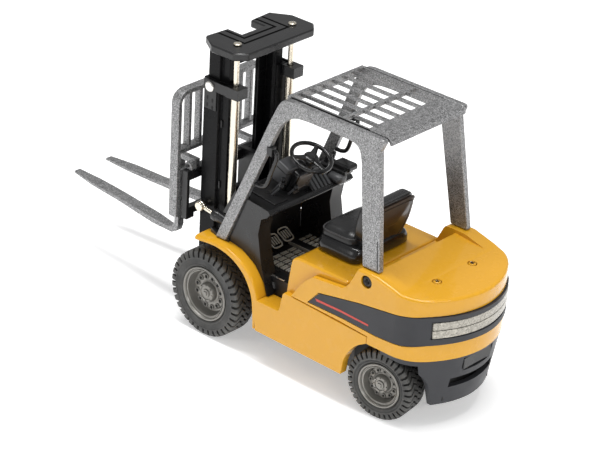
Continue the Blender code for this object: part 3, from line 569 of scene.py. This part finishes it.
def wheels():
    """Tyre and rim for each wheel, built facing left and turned to the wheel's own axis."""
    for end, radius, half, bead, lugs, hub, ring, hole, count in (
            ("front", 18.1, 5.5, 11.4, 36, 3.9, 6.4, 0.72, 12),
            ("rear", 14.2, 5.75, 9.2, 34, 3.4, 5.3, 0.52, 11)):
        for side in ("left", "right"):
            spin = JOINTS[f"{end}_wheel_spin_{side}"]
            steer = math.atan2(spin["axis"][1], spin["axis"][0])
            place = Matrix.Translation(from_axle(spin["pos_m"])) @ Matrix.Rotation(steer, 4, "Z")
            if side == "right":
                place = place @ turned(180, "Z")
            body = f"wheel_{end}_{side}"
            tyre = tyre_mesh(radius, bead, half, lugs)
            metal, dark = rim_meshes(bead, half, hub, ring, hole, count)
            add(moved(tyre, place), f"lugged_{end}_tyre_{side}", body, "rubber", [f"{end}_tyre_{side}"],
                smooth=28)
            add(moved(metal, place), f"dished_{end}_rim_{side}", body, "gunmetal", [f"{end}_rim_{side}"])
            add(moved(dark, place), f"{end}_rim_hole_shade_{side}", body, "void_black")


# ---------------------------------------------------------------- body


def body():
    """Side panels with curved front wings, steps, and the box under the seat.

    The panels' rear arches lie 1.5 mm behind those of the solid.
    """
    panel = [(27.9, 13.6), (72.1, 13.2)]
    panel += curve([(72.5, 15.8), (73.2, 20.0), (75.2, 24.2), (78.9, 28.5), (83.4, 31.2)], 3)
    panel += [(83.4, 34.2), (45.2, 35.8), (42.0, 35.9)]
    panel += curve([(41.2, 35.0), (40.6, 32.0), (39.9, 28.2), (39.0, 27.0)], 3)
    panel += [(27.0, 27.0), (27.1, 20.0)]
    side = prism("x", panel, 25.4, 29.0)
    both(side, "side_panel", "truck", "orange_paint", bevel=0.55, segments=3)
    inner = curve([(26.6, 14.0), (26.2, 20.0), (25.4, 26.6), (23.2, 31.8), (19.4, 36.4), (13.4, 39.9),
                   (5.2, 41.5), (-5.2, 40.5)], 4)
    outer = curve([(-5.6, 42.3), (5.2, 43.4), (14.6, 42.2), (21.8, 38.4), (26.2, 33.0), (28.4, 27.2)], 4)
    wing = inner + outer + [(27.5, 26.6), (27.4, 14.0)]
    # The upper line drops towards the outer face, which rounds the wing's shoulder.
    upper = range(len(inner), len(inner) + len(outer))
    rows = []
    for x, drop in ((20.6, 0.0), (27.4, 0.0), (28.55, 0.35), (28.95, 1.1)):
        rows.append([(x, y, z - (drop if i in upper else 0)) for i, (y, z) in enumerate(wing)])
    both(loft(rows), "front_wing", "truck", "orange_paint", bevel=0.18, smooth=50)
    both(box((20.3, 25.6), (27.6, 41.0), (24.6, 26.95)), "entry_step", "truck", "orange_paint", bevel=0.2)
    both(box((25.2, 28.6), (26.4, 29.5), (24.0, 26.8)), "step_corner", "truck", "orange_paint", bevel=0.2)
    filler = prism("z", [(20.7, -3.4), (22.6, -3.2), (25.0, 2.6), (25.0, 8.6), (20.7, 8.6)], 41.4, 44.4)
    both(filler, "wing_inset", "truck", "satin_black", bevel=0.3)
    liner = [(8.5, 27.4), (28.4, 27.4), (27.0, 32.8), (22.3, 38.9), (21.6, 42.0), (21.6, 52.0), (8.5, 56.0)]
    both(prism("x", liner, 17.25, 17.7), "wheel_arch_liner", "truck", "satin_black")
    seat_box = [(39.8, 24.8)] + curve([(40.6, 34.0), (42.2, 46.6), (43.4, 50.2), (46.2, 51.5)], 3)
    seat_box += [(71.0, 51.5), (71.0, 24.8)]
    add(prism("x", seat_box, -26.6, 26.6), "seat_box", "truck", "orange_paint", ["body_shell"],
        bevel=1.0, segments=3)


def stripe_line():
    """Thin red line low on the dark band."""
    path = [(58.5, 39.1), (70.0, 39.4), (84.0, 39.0), (84.0, 39.7), (70.0, 40.2), (57.6, 40.0)]
    both(prism("x", path, 28.7, 29.06), "band_line", "truck", "red_line")


def bumper_details():
    """Blank plate in its recess, and a black box behind the slot as painted shade."""
    tail = node_box("rear_bumper")[1].y
    plate = box((-8.0, 8.0), (tail - 3.0, tail - 1.5), (24.9, 29.6))
    add(plate, "rear_plate", "truck", "satin_black", bevel=0.3)
    # Black box behind the slot: painted shade in place of the dark inside of the bumper.
    add(box((-13.6, 13.6), (103.0, 109.2), (11.6, 23.0)), "slot_shade", "truck", "void_black")


# ---------------------------------------------------------------- guard, handles


ROOF_EDGE = 104.0
PILLAR_SPREAD = 0.066
FRONT_PILLAR_SPREAD = 0.03


def guard():
    """Side frames whose pillars lean out downwards, a black strip down each rear pillar painted as the shade at
    its outer rear corner, and roof seams.
    """
    outline = [(2.4, 43.8), (7.6, 43.8)]
    outline += curve([(25.6, 86.6), (28.4, 93.6), (31.2, 99.6), (34.8, 103.8), (39.4, 106.0),
                      (46.0, 106.6)], 4)
    outline += curve([(64.0, 106.6), (68.0, 106.0), (70.2, 103.8), (71.4, 100.0)], 4)
    outline += [(77.4, 60.8), (85.6, 60.8), (79.6, 107.0)]
    outline += curve([(81.2, 110.4), (81.0, 111.7), (79.6, 112.0)], 3)
    outline += [(36.0, 112.0)]
    outline += curve([(33.4, 111.6), (31.2, 110.2), (29.4, 107.6)], 3)
    outline += [(26.0, 100.4)]
    rings = []
    for x in (21.4, 24.0):
        rings.append([(x + (FRONT_PILLAR_SPREAD if y < 40 else PILLAR_SPREAD) * max(0.0, ROOF_EDGE - z), y, z)
                      for y, z in outline])
    both(loft(rings), "guard_side", "truck", "silver_paint", ["guard_frame_{}"], bevel=0.5, segments=3)
    # Thin black strip just proud of the outer face: painted shade along the pillar's outer rear corner.
    groove = [(84.35, 61.6), (78.6, 105.6), (78.95, 105.6), (84.75, 61.6)]
    rows = [[(x + PILLAR_SPREAD * (ROOF_EDGE - z), y, z) for y, z in groove] for x in (23.9, 24.04)]
    both(loft(rows), "guard_corner_shade", "truck", "void_black")
    both(box((20.68, 21.12), (33.5, 72.0), (111.6, 112.12)), "roof_seam", "truck", "void_black")


def screw_crosses():
    """Black crosses on the heads of the side and deck screws, painted as the shade in their cross slots."""
    for node in ("side_screw_left", "deck_screw_left"):
        low, high = node_box(node)
        middle = (low + high) / 2
        sideways = node.startswith("side")
        reach, half = (1.35, 0.24) if sideways else (0.95, 0.2)
        bars = []
        for turn in (35, 125):
            # Each bar is black and stands proud of the head: painted shade of the cross slot.
            bar = box((-half, half), (-reach, reach), (-0.2, 0.06))
            bars.append(moved(bar, turned(turn, "Z")))
        if sideways:
            place = Matrix.Translation((high.x, middle.y, middle.z)) @ turned(90, "Y")
        else:
            place = Matrix.Translation((middle.x, middle.y, high.z))
        cross = moved(joined(bars), place)
        both(cross, node.split("_")[0] + "_screw_cross", "truck", "void_black")


def handles():
    """Bent grip and its upper mount on each front pillar."""
    path = curve([(19.6, 71.8), (23.0, 72.0), (25.4, 73.8), (27.4, 79.6), (29.4, 85.0), (29.4, 88.0),
                  (27.2, 89.0)], 5)
    grip = tube([(23.1, y, z) for y, z in path], 0.85, 12)
    mount = box((22.3, 24.9), (26.0, 28.6), (86.9, 90.4))
    both(joined([grip, mount]), "grip", "truck", "gloss_black", ["grab_handle_{}"], bevel=0.15, smooth=45)


# ---------------------------------------------------------------- cab


# The steering wheel's centre, with z up its leaning column.
COLUMN = Matrix.Translation((0.0, 27.0, 78.2)) @ turned(-22, "X")


def steering_wheel():
    """Round ring, domed hub and three tapering spokes."""
    ring, grip = 8.0, 0.85
    pieces = [lathe([(grip * math.sin(a), ring + grip * math.cos(a)) for a in round_angles(12)], 72, "z")]
    hub = [(-2.6, 0), (-2.6, 2.2), (-0.9, 3.0), (0.0, 3.05), (0.5, 2.7), (0.75, 1.6), (0.8, 0)]
    pieces.append(lathe(hub, 40, "z"))
    octagon = ((-1, -0.4), (-0.6, -1), (0.6, -1), (1, -0.4), (1, 0.4), (0.6, 1), (-0.6, 1), (-1, 0.4))
    # (distance from the hub, half width, half thickness, rise)
    spoke = ((1.8, 1.5, 0.6, -0.1), (3.6, 1.2, 0.5, -0.15), (5.6, 0.95, 0.45, -0.1), (7.7, 0.9, 0.45, 0.0))
    rows = [[(out, wide * a, rise + thick * b) for a, b in octagon] for out, wide, thick, rise in spoke]
    for degrees in (88, 208, 332):
        pieces.append(moved(loft(rows), turned(degrees, "Z")))
    wheel = moved(joined(pieces), COLUMN)
    add(wheel, "hand_wheel_rim", "hand_wheel", "gloss_black", ["steering_wheel"], smooth=50)
    badge = lathe([(0.7, 0), (0.7, 1.2), (0.95, 1.0), (1.0, 0)], 24, "z")
    add(moved(badge, COLUMN), "hand_wheel_boss", "hand_wheel", "satin_black")


def column_covers():
    """Covers of the steering column."""
    for name, x, y, z, look, edge in (
            ("column_cover", (-1.6, 7.2), (-5.2, 2.6), (-18.5, -5.0), "gloss_black", 1.2),
            ("column_face", (-1.4, 6.4), (2.2, 3.2), (-18.0, -5.6), "panel_brown", 0.4),
            ("column_side_box", (3.2, 10.4), (-7.2, -0.8), (-12.6, -3.6), "cab_grey", 0.8),
            ("column_side_seam", (3.0, 10.5), (-7.3, -0.7), (-6.3, -5.9), "void_black", 0.0),
            ("column_rail", (7.0, 7.9), (-1.6, -0.4), (-18.0, -6.0), "gloss_black", 0.3)):
        add(moved(box(x, y, z), COLUMN), name, "truck", look, bevel=edge, segments=3)


def small_levers():
    """Three short levers with round knobs, on the left of the dash."""
    levers = (((12.6, 19.0, 64.6), (10.6, 22.6, 70.4)), ((14.6, 20.6, 64.6), (13.0, 24.0, 69.0)),
              ((8.6, 23.6, 64.0), (7.6, 26.6, 67.6)))
    for k, (start, end) in enumerate(levers):
        add(tube([start, end], 0.45, 8), f"small_lever_{k}", "truck", "cab_grey")
        knob = lathe([(-1.0, 0), (-1.0, 0.6), (0, 1.0), (1.0, 0.7), (1.3, 0)], 16, "z", end)
        add(knob, f"small_knob_{k}", "truck", "gloss_black")


def dash_pads():
    """Raised pads on the sloping top of the dash."""
    slope = Matrix.Translation((0, 20.0, 64.5)) @ turned(-6.1, "X") @ Matrix.Translation((0, -20.0, 0))
    pads = ((15.4, 20.2, 7.6, 12.4), (19.6, 11.4, 2.6, 3.0), (-16.6, 20.4, 5.6, 11.4))
    for k, (x, y, wide, deep) in enumerate(pads):
        pad = box((x - wide / 2, x + wide / 2), (y - deep / 2, y + deep / 2), (-0.5, 0.5))
        add(moved(pad, slope), f"dash_pad_{k}", "truck", "satin_black", bevel=0.3)


def oval_recess_shade():
    """Black oval disc painted as the shade of a recess, with a thin rim, in the column's rear face."""
    face = COLUMN @ Matrix.Translation((1.6, 3.2, -13.2)) @ turned(-90, "X") @ turned(-14, "Z")
    # The black disc stands in for the shade inside the recess.
    disc = lathe([(-0.3, 0), (-0.3, 1.0), (0.12, 1.0), (0.12, 0)], 28, "z")
    add(moved(disc, face @ Matrix.Diagonal((3.1, 1.5, 1, 1))), "oval_recess_shade", "truck", "void_black")
    rim = [(3.25 * math.cos(a), 1.65 * math.sin(a), 0.1) for a in round_angles(28)]
    add(moved(tube(rim, 0.14, 6, True), face), "oval_rim", "truck", "panel_brown")


def louvres():
    """Air louvres on the sloping rear face, the trim along the dash edge, and the arm rest's end."""
    bank = prism("x", [(16.0, 64.0), (20.8, 68.2), (22.6, 68.4), (28.3, 63.0), (27.4, 61.8), (16.0, 61.8)],
                 -12.4, -1.2)
    add(bank, "louvre_bank", "truck", "satin_black", bevel=0.3)
    slope = Matrix.Translation((0, 25.3, 65.7)) @ turned(-43, "X")
    for k in range(5):
        x = -2.6 - 2.05 * k
        rib = box((x - 0.62, x + 0.62), (-3.4, 3.3), (-0.3, 0.55))
        add(moved(rib, slope), f"louvre_{k}", "truck", "cab_grey", bevel=0.18)
    lip = tube(curve([(-19.0, 28.3, 62.2), (-8.0, 28.9, 62.3), (8.0, 28.9, 62.3), (19.5, 28.6, 62.3),
                      (23.0, 28.2, 61.8)], 4), 0.45, 8)
    add(lip, "dash_lip", "truck", "satin_black")
    stub = moved(lathe([(-3.2, 0), (-3.2, 1.7), (-2.6, 2.2), (2.2, 2.2), (3.0, 1.6), (3.2, 0)], 24, "y"),
                 Matrix.Translation((-15.8, 27.4, 64.6)) @ Matrix.Diagonal((1.35, 1, 0.9, 1)))
    add(stub, "arm_rest_end", "truck", "cab_grey", smooth=45)


MAT_TOP = 34.3


def pedals():
    """Framed pads with three ribs each."""
    for node, x, y in (("pedal_inner", 4.6, 14.0), ("pedal_outer", -3.0, 13.0)):
        place = Matrix.Translation((x, y, 38.4)) @ turned(-32, "X")
        loop = curve([(-2.3, -2.6, 0.5), (2.3, -2.6, 0.5), (2.5, 0.4, 0.5), (2.0, 2.9, 0.5), (-2.0, 2.9, 0.5),
                      (-2.5, 0.4, 0.5)], 4, True)
        add(moved(tube(loop, 0.34, 8, True), place), node + "_frame", "truck", "mat_ribs")
        pad = box((-2.4, 2.4), (-2.8, 2.9), (-0.3, 0.4))
        add(moved(pad, place), node + "_pad", "truck", "gloss_black", [node], bevel=0.3)
        for k in (-1, 0, 1):
            rib = box((1.25 * k - 0.28, 1.25 * k + 0.28), (-1.7, 1.9), (0.3, 0.75))
            add(moved(rib, place), f"{node}_rib_{k + 1}", "truck", "mat_ribs", bevel=0.1)


def mat():
    """Paired ribs on the left of the mat, and tread bars right of the ridge."""
    for column in range(4):
        for row in range(6):
            x, y = 11.6 - 4.3 * column, 18.6 + 2.7 * row
            for part in (-1, 1):
                middle = y + 0.55 * part
                rib = box((x - 1.75, x + 1.75), (middle - 0.34, middle + 0.34), (MAT_TOP, MAT_TOP + 0.5))
                add(rib, f"mat_rib_{column}_{row}_{part + 1}", "truck", "mat_ribs", bevel=0.1)
    for row in range(9):
        for column in range(2):
            x, y = -10.6 - 3.8 * column, 15.6 + 2.3 * row
            rib = box((x - 1.5, x + 1.5), (y - 0.62, y + 0.62), (MAT_TOP + 0.1, MAT_TOP + 0.7))
            add(rib, f"tread_{column}_{row}", "truck", "mat_ribs", bevel=0.12)
    add(box((-8.6, -4.6), (13.6, 38.0), (34.2, 35.2)), "mat_ridge", "truck", "satin_black", bevel=0.2)
    edge = box((-4.75, -4.4), (13.6, 38.0), (33.9, 35.3))
    add(edge, "mat_divider", "truck", "mat_ribs", bevel=0.08)


def bulkhead_and_sill():
    """Screws and a bar on the bulkhead behind the pedals, and a bright strip on the sill."""
    for k, (x, z) in enumerate(((13.4, 52.6), (6.0, 49.0), (-9.6, 56.0))):
        screw = lathe([(8.3, 0), (8.3, 0.55), (8.75, 0.4), (8.85, 0)], 12, "y", (x, 0, z))
        add(screw, f"bulkhead_screw_{k}", "truck", "pale_steel")
    add(box((-5.6, 1.6), (8.3, 9.0), (49.6, 50.2)), "bulkhead_bar", "truck", "pale_steel", bevel=0.1)
    sill = box((18.9, 19.7), (26.2, 33.6), (34.0, 34.45))
    add(sill, "sill_strip", "truck", "pale_steel", bevel=0.1)


# ---------------------------------------------------------------- seat

SEAT_SIDES = 72


def rounded(angle, power):
    """A point of a unit rounded square; a larger power gives squarer corners."""
    c, s = math.cos(angle), math.sin(angle)
    return math.copysign(abs(c) ** (2 / power), c), math.copysign(abs(s) ** (2 / power), s)


def cushion_mesh(half, y0, y1, z0, height, crown, power, seam):
    """Crowned pad on a rounded outline, with a sewn groove across it at y = seam."""
    middle, reach = (y0 + y1) / 2, (y1 - y0) / 2
    # (share of the height, share of the outline, share of the crown)
    levels = [(0.0, 0.95, 0.0), (0.12, 0.99, 0.0), (0.45, 1.0, 0.0), (0.72, 0.985, 0.0), (0.86, 0.955, 0.1),
              (0.93, 0.90, 0.35), (1.0, 0.82, 0.62), (1.0, 0.68, 0.82), (1.0, 0.5, 0.93), (1.0, 0.3, 0.98),
              (1.0, 0.12, 1.0)]
    rings = []
    for up, scale, swell in levels:
        ring = []
        for angle in round_angles(SEAT_SIDES):
            across, along = rounded(angle, power)
            x = half * scale * across
            y = middle + reach * scale * along
            pinch = 1 - 0.02 * math.cos(2 * angle) ** 2
            z = z0 + height * up + crown * swell
            if up > 0.9:
                z -= 0.42 * math.exp(-((y - seam) / 0.55) ** 2)
            z += 0.14 * noise.noise(Vector((x, y, z)) * 0.22) * swell
            ring.append((x * pinch, y, z))
        rings.append(ring)
    return loft(rings)


def outline_loop(half, y0, y1, z, power):
    """A level rounded outline."""
    middle, reach = (y0 + y1) / 2, (y1 - y0) / 2
    corners = [rounded(angle, power) for angle in round_angles(SEAT_SIDES)]
    return [(half * across, middle + reach * along, z) for across, along in corners]


def seat():
    """Moulded base, crowned cushion with piping, and a thick back with a stiff rear panel."""
    rings = []
    for z, half, y0, y1 in ((51.85, 15.6, 44.9, 65.4), (52.3, 16.1, 44.5, 65.9), (54.6, 16.0, 44.3, 66.0),
                            (56.4, 15.2, 44.5, 65.6), (57.4, 14.2, 44.8, 65.0), (57.6, 13.2, 45.4, 64.4)):
        rings.append(outline_loop(half, y0, y1, z, 7.0))
    add(loft(rings), "seat_base", "truck", "gloss_black", ["seat_tray"], smooth=60)
    cushion = cushion_mesh(13.7, 44.0, 61.6, 55.6, 4.6, 1.9, 5.5, 55.6)
    add(cushion, "seat_pad", "truck", "seat_vinyl", ["seat_cushion"], smooth=60)
    piping = tube(outline_loop(13.45, 44.2, 61.4, 59.75, 5.5), 0.3, 8, True)
    add(piping, "seat_pad_piping", "truck", "piping")
    seat_back()


def both_edges(edge):
    """A closed outline from its +x half, which runs from the foot to the top."""
    return [(-edge[0][0], edge[0][1])] + edge + [(-x, z) for x, z in reversed(edge[1:])]


def leaning(z):
    """y of the back's front face."""
    return 58.9 + 0.2 * (z - 56)


def seat_back():
    """Thick pad with a pressed rim and piping, and a stiff panel behind it."""
    pad_edge = [(8.5, 56.0), (10.6, 58.6), (12.4, 62.6), (12.9, 67.0), (12.7, 72.2), (11.4, 74.6),
                (8.5, 75.2)]
    rest = curve(both_edges(pad_edge), 4, True)

    def upright(depth, shrink):
        """The pad's outline at a depth behind its front face."""
        return [(x * shrink, leaning(z) + depth - 0.35 * (x * shrink / 12.4) ** 2,
                 65.6 + (z - 65.6) * shrink) for x, z in rest]

    back = loft([upright(*level) for level in (
        (0.75, 0.30), (0.5, 0.6), (0.35, 0.8), (0.2, 0.84), (0.55, 0.885), (0.3, 0.93), (0.7, 0.97),
        (1.5, 0.995), (2.8, 1.0), (4.6, 0.995), (5.3, 0.97), (5.5, 0.9))])
    add(back, "seat_back_pad", "truck", "seat_vinyl", ["seat_back"], smooth=60)
    add(tube(upright(5.0, 0.985), 0.28, 8, True), "seat_back_piping", "truck", "piping")
    shell_edge = [(7.0, 53.9), (9.0, 55.4), (11.2, 60.0), (12.3, 63.0), (12.8, 67.0), (12.6, 71.2),
                  (10.8, 73.4)]
    shell = curve(both_edges(shell_edge), 3, True)

    def behind(depth, shrink):
        """The panel's outline at a depth behind the pad."""
        return [(x * shrink, leaning(z) + 5.0 + depth, 63.6 + (z - 63.6) * shrink) for x, z in shell]

    plate = loft([behind(*level) for level in (
        (0.0, 1.0), (0.9, 1.0), (1.25, 0.985), (1.3, 0.9), (1.05, 0.885), (1.05, 0.87), (1.35, 0.855),
        (1.5, 0.6), (1.55, 0.2))])
    add(plate, "seat_back_shell", "truck", "seat_shell", ["seat_back_panel"], smooth=50)
    hinge = tube([(-8.0, 62.2, 55.2), (8.0, 62.2, 55.2)], 1.2, 14)
    add(hinge, "seat_hinge", "truck", "satin_black")


# ---------------------------------------------------------------- mast


def mast_details():
    """Plate with black discs painted as the shade in its slots, clamp disc and small rivets on the outer rails."""
    plate = box((17.45, 17.9), (-13.6, -7.4), (91.0, 99.2))
    both(plate, "mast_plate", "mast", "satin_black", bevel=0.2)
    for k, (y, z) in enumerate(((-11.9, 95.6), (-9.2, 95.0), (-11.9, 92.6), (-9.2, 92.0))):
        # Black disc a little proud of the plate: painted shade in place of each slot's dark hole.
        slot = lathe([(17.7, 0), (17.7, 0.55), (17.95, 0.55), (17.95, 0)], 14)
        slot = moved(slot, Matrix.Translation((0, y, z)) @ Matrix.Diagonal((1, 0.75, 1.7, 1)))
        both(slot, f"mast_slot_{k}", "mast", "void_black")
    disc = lathe([(18.0, 0), (18.0, 2.1), (19.1, 2.1), (19.45, 1.7), (19.5, 0)], 28, "x", (0, -10.0, 101.0))
    both(disc, "clamp_disc", "mast", "pale_steel")
    for k, z in enumerate((34.0, 60.0, 86.0)):
        rivet = box((16.2, 16.6), (-5.7, -5.1), (z - 1.5, z + 1.5))
        both(rivet, f"rail_rivet_{k}", "mast", "satin_black", bevel=0.1)


def backrest():
    """Flat-bar frame with round corners, inner bars, and the rear cross bar."""
    half, top, low, corner_radius, thick = 24.5, 96.2, 42.4, 5.2, 1.9
    front, back = -24.6, -20.4

    def arch(inset):
        """The frame's outline in x and z, from foot to foot."""
        x, high, radius = half - inset, top - inset, corner_radius - inset
        corner = [(x - radius + radius * math.cos(v), high - radius + radius * math.sin(v))
                  for v in (math.pi / 2 * k / 7 for k in range(8))]
        return [(x, low)] + corner + [(-u, v) for u, v in reversed(corner)] + [(-x, low)]

    rings = [[(ax, front, az), (ax, back, az), (bx, back, bz), (bx, front, bz)]
             for (ax, az), (bx, bz) in zip(arch(0.0), arch(thick))]
    pieces = [loft(rings)]
    reach = half - thick + 0.5
    pieces.append(box((-reach, reach), (front, back), (69.7, 71.5)))
    for px in (-17.3, -11.4, -5.4, 5.4, 11.4, 17.3):
        pieces.append(box((px - 0.8, px + 0.8), (front + 0.5, back - 0.6), (70.5, top - 1)))
    pieces.append(box((-reach, reach), (back - 1.4, back), (60.4, 62.6)))
    add(joined(pieces), "backrest_frame", "fork_carrier", "silver_paint", ["load_backrest"], bevel=0.3)


def latches():
    """Spring latch on top of each fork's hook, over the upper bar. It slides along the bar with its fork."""
    outline = [(-19.8, 63.7), (-15.9, 63.7), (-15.9, 65.2), (-17.0, 66.9), (-18.6, 66.9), (-19.8, 65.4)]
    shape = prism("x", outline, 18.2, 21.2)
    both(shape, "bar_latch", "fork_{:.1}", "silver_paint", bevel=0.25)
    pin = lathe([(17.8, 0), (17.8, 0.6), (21.7, 0.6), (21.7, 0)], 12, "x", (0, -17.8, 65.2))
    both(pin, "latch_pin", "fork_{:.1}", "satin_black")


# ---------------------------------------------------------------- stage


def stage():
    """White paper floor, a white world, and three soft lamps."""
    floor = linked("floor", bpy.data.meshes.new("floor"))
    size = 4.0
    square = [(-size, -size, 0), (size, -size, 0), (size, size, 0), (-size, size, 0)]
    floor.data.from_pydata(square, [], [(0, 1, 2, 3)])
    s = Shader("paper", "rubber", (0.93, 0.93, 0.93), 0.75)
    s.colour(s.mix((0.925, 0.925, 0.925), (0.94, 0.94, 0.94), s.noise(40, 3)))
    s.set("Emission Color", (1, 1, 1, 1))
    s.set("Emission Strength", 0.36)
    floor.data.materials.append(s.material)

    world = bpy.data.worlds.new("studio")
    bpy.context.scene.world = world
    world.use_nodes = True
    background = world.node_tree.nodes["Background"]
    background.inputs["Color"].default_value = (1, 1, 1, 1)
    background.inputs["Strength"].default_value = 0.42
    for name, place, aim, width, height, power in (
            ("key", (0.06, 0.03, 1.1), (0, 0.02, 0.05), 0.9, 0.16, 10.0),
            ("side", (1.1, -0.35, 0.6), (0, 0, 0.05), 0.4, 0.5, 1.6),
            ("rear", (0.35, 1.15, 0.75), (0, 0.05, 0.05), 0.7, 0.15, 3.4)):
        lamp = bpy.data.lights.new(name, "AREA")
        lamp.shape, lamp.size, lamp.size_y, lamp.energy = "RECTANGLE", width, height, power
        obj = linked(name, lamp)
        obj.location = place
        obj.rotation_euler = (Vector(aim) - Vector(place)).to_track_quat("-Z", "Y").to_euler()


def camera():
    """Long lens from behind and above the truck's left rear corner."""
    turn, lift, roll = math.radians(130.72), math.radians(27.28), math.radians(3.235)
    back = Vector((math.sin(turn) * math.cos(lift), -math.cos(turn) * math.cos(lift), math.sin(lift)))
    right = Vector((math.cos(turn), math.sin(turn), 0))
    up = back.cross(right)
    side = math.cos(roll) * right + math.sin(roll) * up
    above = math.cos(roll) * up - math.sin(roll) * right
    target = Vector((0.0093, 0.03113, 0.05388)) + AXLE * MM
    distance = 0.94409
    data = bpy.data.cameras.new("camera")
    obj = linked("camera", data)
    matrix = Matrix((side, above, back)).transposed().to_4x4()
    matrix.translation = target + back * distance
    obj.matrix_world = matrix
    data.sensor_width, data.lens = 36.0, 147.71
    data.clip_start = 0.05
    bpy.context.scene.camera = obj
    bpy.context.scene.view_settings.view_transform = "Standard"


make_materials()
dress_nodes()
wheels()
body()
stripe_line()
bumper_details()
guard()
screw_crosses()
handles()
steering_wheel()
column_covers()
small_levers()
dash_pads()
oval_recess_shade()
louvres()
pedals()
mat()
bulkhead_and_sill()
seat()
mast_details()
backrest()
latches()
stage()
camera()
